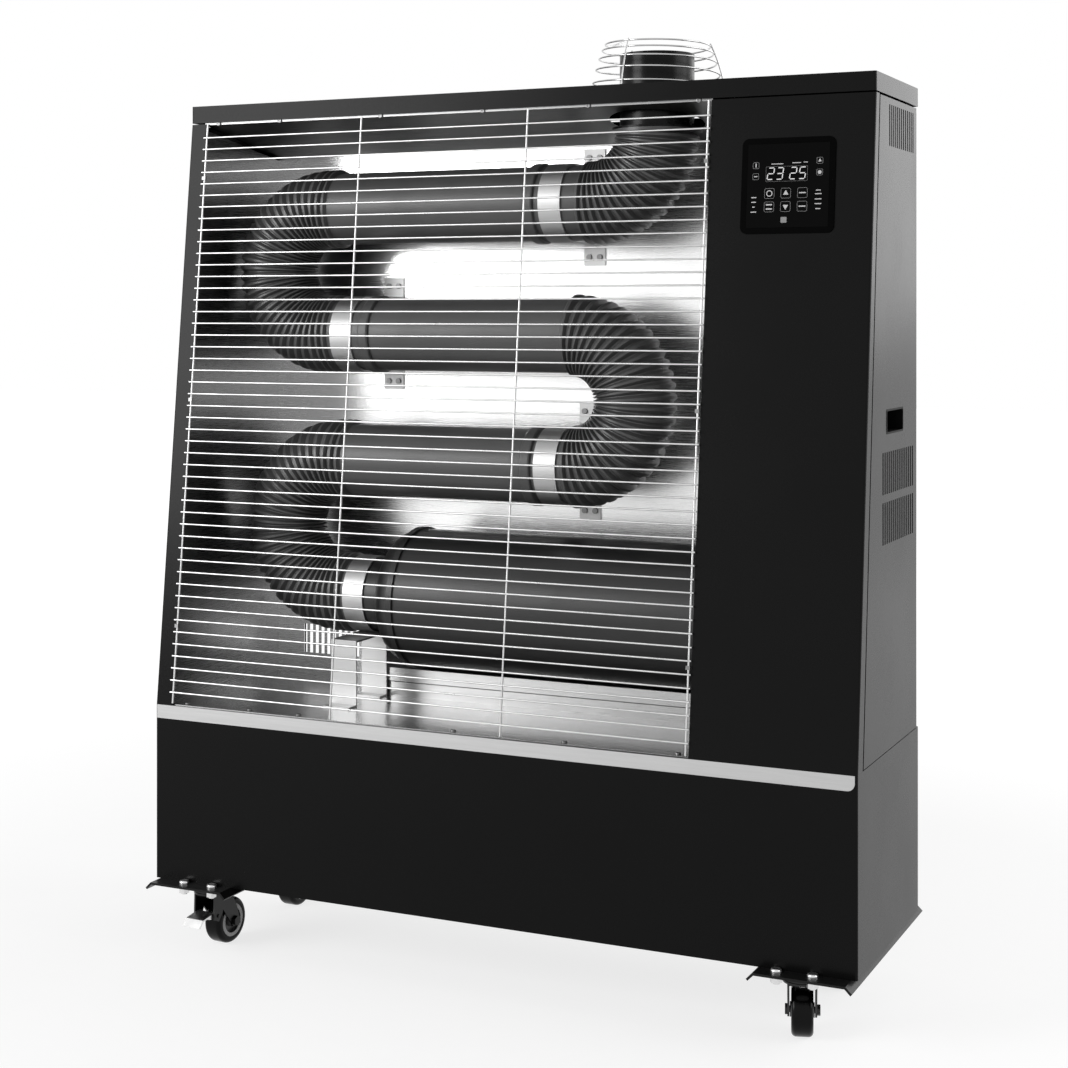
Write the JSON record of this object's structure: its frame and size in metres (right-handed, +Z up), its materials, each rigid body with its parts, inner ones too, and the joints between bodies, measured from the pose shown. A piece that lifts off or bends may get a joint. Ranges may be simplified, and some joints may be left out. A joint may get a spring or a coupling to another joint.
{
  "type": "infrared construction heater",
  "caption": "Oil-fired infrared heater on castors: leaning wire guard, ribbed exchanger tubes, control panel, flue with spiral guard.",
  "frame": {"origin": "on the floor under the middle of the casing", "axes": "+Z up, -Y towards the guarded front, +X towards the control panel"},
  "size_m": [1, 0.348, 1.2515],
  "materials": {
    "casing_paint": "satin black powder coat",
    "rail_paint": "black powder coat",
    "brushed_strip": "brushed stainless",
    "polished_liner": "bright stainless sheet",
    "galvanised": "zinc-coated sheet",
    "heat_black": "matte heat-proof coat",
    "flue_black": "satin black enamel",
    "bright_wire": "bright drawn wire",
    "band_steel": "bright stainless strip",
    "zinc": "zinc plated",
    "black_plastic": "fine-grained black moulding",
    "panel_glass": "glossy black printed film",
    "board_green": "lacquered circuit board",
    "cast_alloy": "cast alloy",
    "motor_paint": "dark enamel",
    "copper": "drawn copper",
    "hub_plastic": "grey moulded nylon",
    "tyre_rubber": "black rubber"
  },
  "bodies": {
    "casing": {"base_cabinet": "casing_paint", "base_floor_pan": "casing_paint", "trim_strip": "brushed_strip", "fuel_tank": "galvanised", "tank_bearers": "galvanised", "filler_neck": "galvanised", "left_side_panel": "casing_paint", "front_panel": "casing_paint", "rear_panel": "casing_paint", "top_cover": "casing_paint", "door_hinge_pins": "zinc", "side_liner": "polished_liner", "reflector": "polished_liner", "cavity_floor": "polished_liner", "cavity_ceiling": "polished_liner", "burner_bulkhead": "galvanised", "lower_deflector": "polished_liner", "combustion_chamber": "heat_black", "lower_exchanger_tube": "heat_black", "middle_exchanger_tube": "heat_black", "upper_exchanger_tube": "heat_black", "exhaust_elbow": "heat_black", "flue_stub": "flue_black", "flue_guard": "bright_wire", "clamp_bands": "band_steel", "chamber_support": "band_steel", "wire_guard": "bright_wire", "guard_clips": "bright_wire", "casing_screws": "zinc", "control_bezel": "black_plastic", "control_glass": "panel_glass", "circuit_board": "board_green", "burner_housing": "cast_alloy", "burner_motor": "motor_paint", "blast_tube": "galvanised", "fuel_pump": "cast_alloy", "fuel_line": "copper", "ignition_transformer": "black_plastic", "cable_gland": "black_plastic", "castor_rails": "rail_paint", "castor_bolts": "zinc", "castor_plates": "zinc"},
    "service_door": {"service_door": "casing_paint", "door_grip": "black_plastic"},
    "filler_cap": {"filler_cap": "black_plastic"},
    "blower_wheel": {"blower_wheel": "galvanised"},
    "castor_front_left": {"castor_fork_front_left": "zinc"},
    "wheel_front_left": {"castor_hub_front_left": "hub_plastic", "castor_tyre_front_left": "tyre_rubber"},
    "brake_pedal_front_left": {"brake_pedal_front_left": "zinc"},
    "castor_front_right": {"castor_fork_front_right": "zinc"},
    "wheel_front_right": {"castor_hub_front_right": "hub_plastic", "castor_tyre_front_right": "tyre_rubber"},
    "castor_rear_left": {"castor_fork_rear_left": "zinc"},
    "wheel_rear_left": {"castor_hub_rear_left": "hub_plastic", "castor_tyre_rear_left": "tyre_rubber"},
    "brake_pedal_rear_left": {"brake_pedal_rear_left": "zinc"},
    "castor_rear_right": {"castor_fork_rear_right": "zinc"},
    "wheel_rear_right": {"castor_hub_rear_right": "hub_plastic", "castor_tyre_rear_right": "tyre_rubber"}
  },
  "joints": [
    {"name": "door_swing", "type": "hinge", "parent": "casing", "child": "service_door", "pos_m": [0.488, 0.138, 0.744], "axis": [0, 0, 1], "range_deg": [0, 100]},
    {"name": "filler_cap_pull", "type": "slide", "parent": "casing", "child": "filler_cap", "axis": [0, 1, 0], "range_m": [0, 0.05]},
    {"name": "blower_spin", "type": "hinge", "parent": "casing", "child": "blower_wheel", "pos_m": [0.41, 0.025, 0.44], "axis": [0, 1, 0], "continuous": true},
    {"name": "castor_swivel_front_left", "type": "hinge", "parent": "casing", "child": "castor_front_left", "pos_m": [-0.425, -0.1245, 0.08], "axis": [0, 0, 1], "continuous": true},
    {"name": "wheel_roll_front_left", "type": "hinge", "parent": "castor_front_left", "child": "wheel_front_left", "pos_m": [-0.42284, -0.09358, 0.0315], "axis": [0.9976, -0.0698, 0], "continuous": true},
    {"name": "brake_front_left", "type": "hinge", "parent": "castor_front_left", "child": "brake_pedal_front_left", "pos_m": [-0.42549, -0.13148, 0.048], "axis": [0.9976, -0.0698, 0], "range_deg": [0, 12]},
    {"name": "castor_swivel_front_right", "type": "hinge", "parent": "casing", "child": "castor_front_right", "pos_m": [0.425, -0.1245, 0.08], "axis": [0, 0, 1], "continuous": true},
    {"name": "wheel_roll_front_right", "type": "hinge", "parent": "castor_front_right", "child": "wheel_front_right", "pos_m": [0.41594, -0.09485, 0.0315], "axis": [0.9563, 0.2924, 0], "continuous": true},
    {"name": "castor_swivel_rear_left", "type": "hinge", "parent": "casing", "child": "castor_rear_left", "pos_m": [-0.425, 0.1245, 0.08], "axis": [0, 0, 1], "continuous": true},
    {"name": "wheel_roll_rear_left", "type": "hinge", "parent": "castor_rear_left", "child": "wheel_rear_left", "pos_m": [-0.425, 0.0935, 0.0315], "axis": [-1, 0, 0], "continuous": true},
    {"name": "brake_rear_left", "type": "hinge", "parent": "castor_rear_left", "child": "brake_pedal_rear_left", "pos_m": [-0.425, 0.1315, 0.048], "axis": [-1, 0, 0], "range_deg": [0, 12]},
    {"name": "castor_swivel_rear_right", "type": "hinge", "parent": "casing", "child": "castor_rear_right", "pos_m": [0.425, 0.1245, 0.08], "axis": [0, 0, 1], "continuous": true},
    {"name": "wheel_roll_rear_right", "type": "hinge", "parent": "castor_rear_right", "child": "wheel_rear_right", "pos_m": [0.41698, 0.09456, 0.0315], "axis": [-0.9659, 0.2588, 0], "continuous": true}
  ]
}
